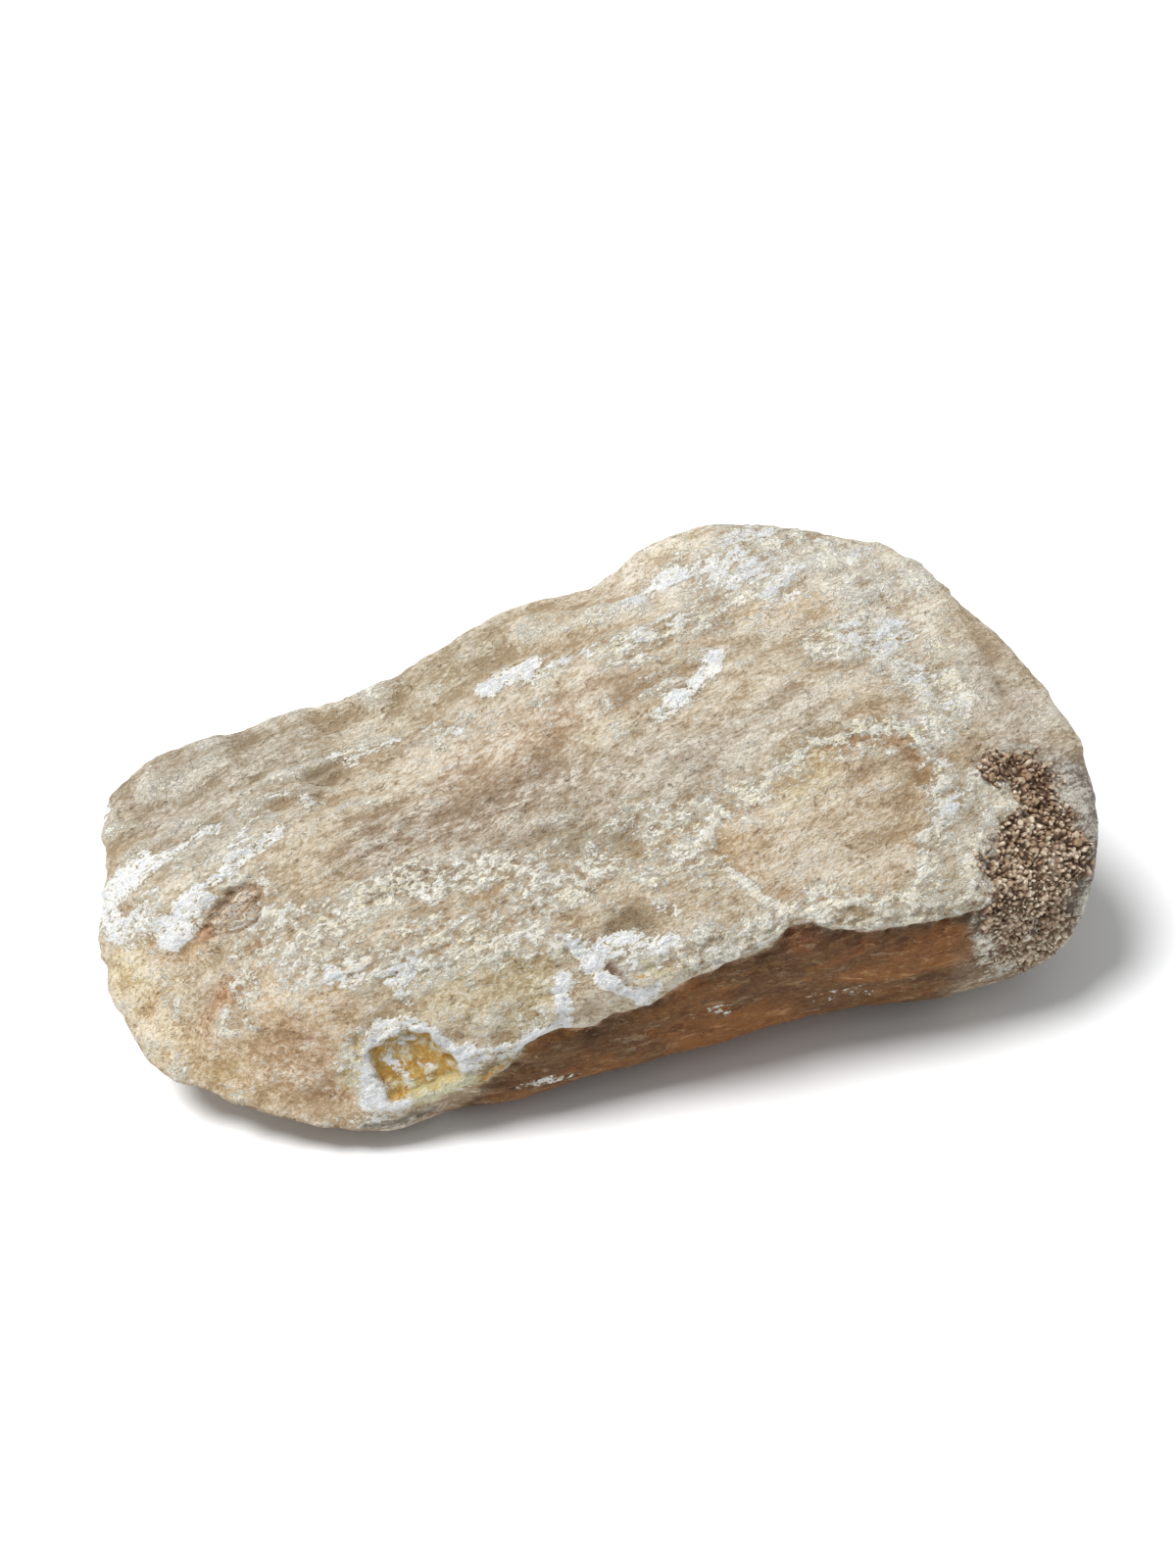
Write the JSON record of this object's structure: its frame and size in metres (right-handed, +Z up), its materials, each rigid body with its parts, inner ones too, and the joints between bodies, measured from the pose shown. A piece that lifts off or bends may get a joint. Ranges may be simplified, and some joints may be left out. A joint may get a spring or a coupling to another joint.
{
  "type": "honeycomb calcite specimen",
  "caption": "Rough wedge-shaped block of honeycomb calcite with a weathered rind, chalky crests, a brown crust at one end and small windows of honey-coloured crystal.",
  "frame": {"origin": "middle of the stone's box, at the level of the flat it rests on", "axes": "+X along the stone towards its thick, crusted end, +Y towards its back, +Z up"},
  "size_m": [0.266, 0.143, 0.095],
  "materials": {
    "calcite": "rough weathered rind with chalky crests and glossy honey-coloured windows"
  },
  "bodies": {
    "root": {"calcite_stone": "calcite"}
  },
  "joints": []
}
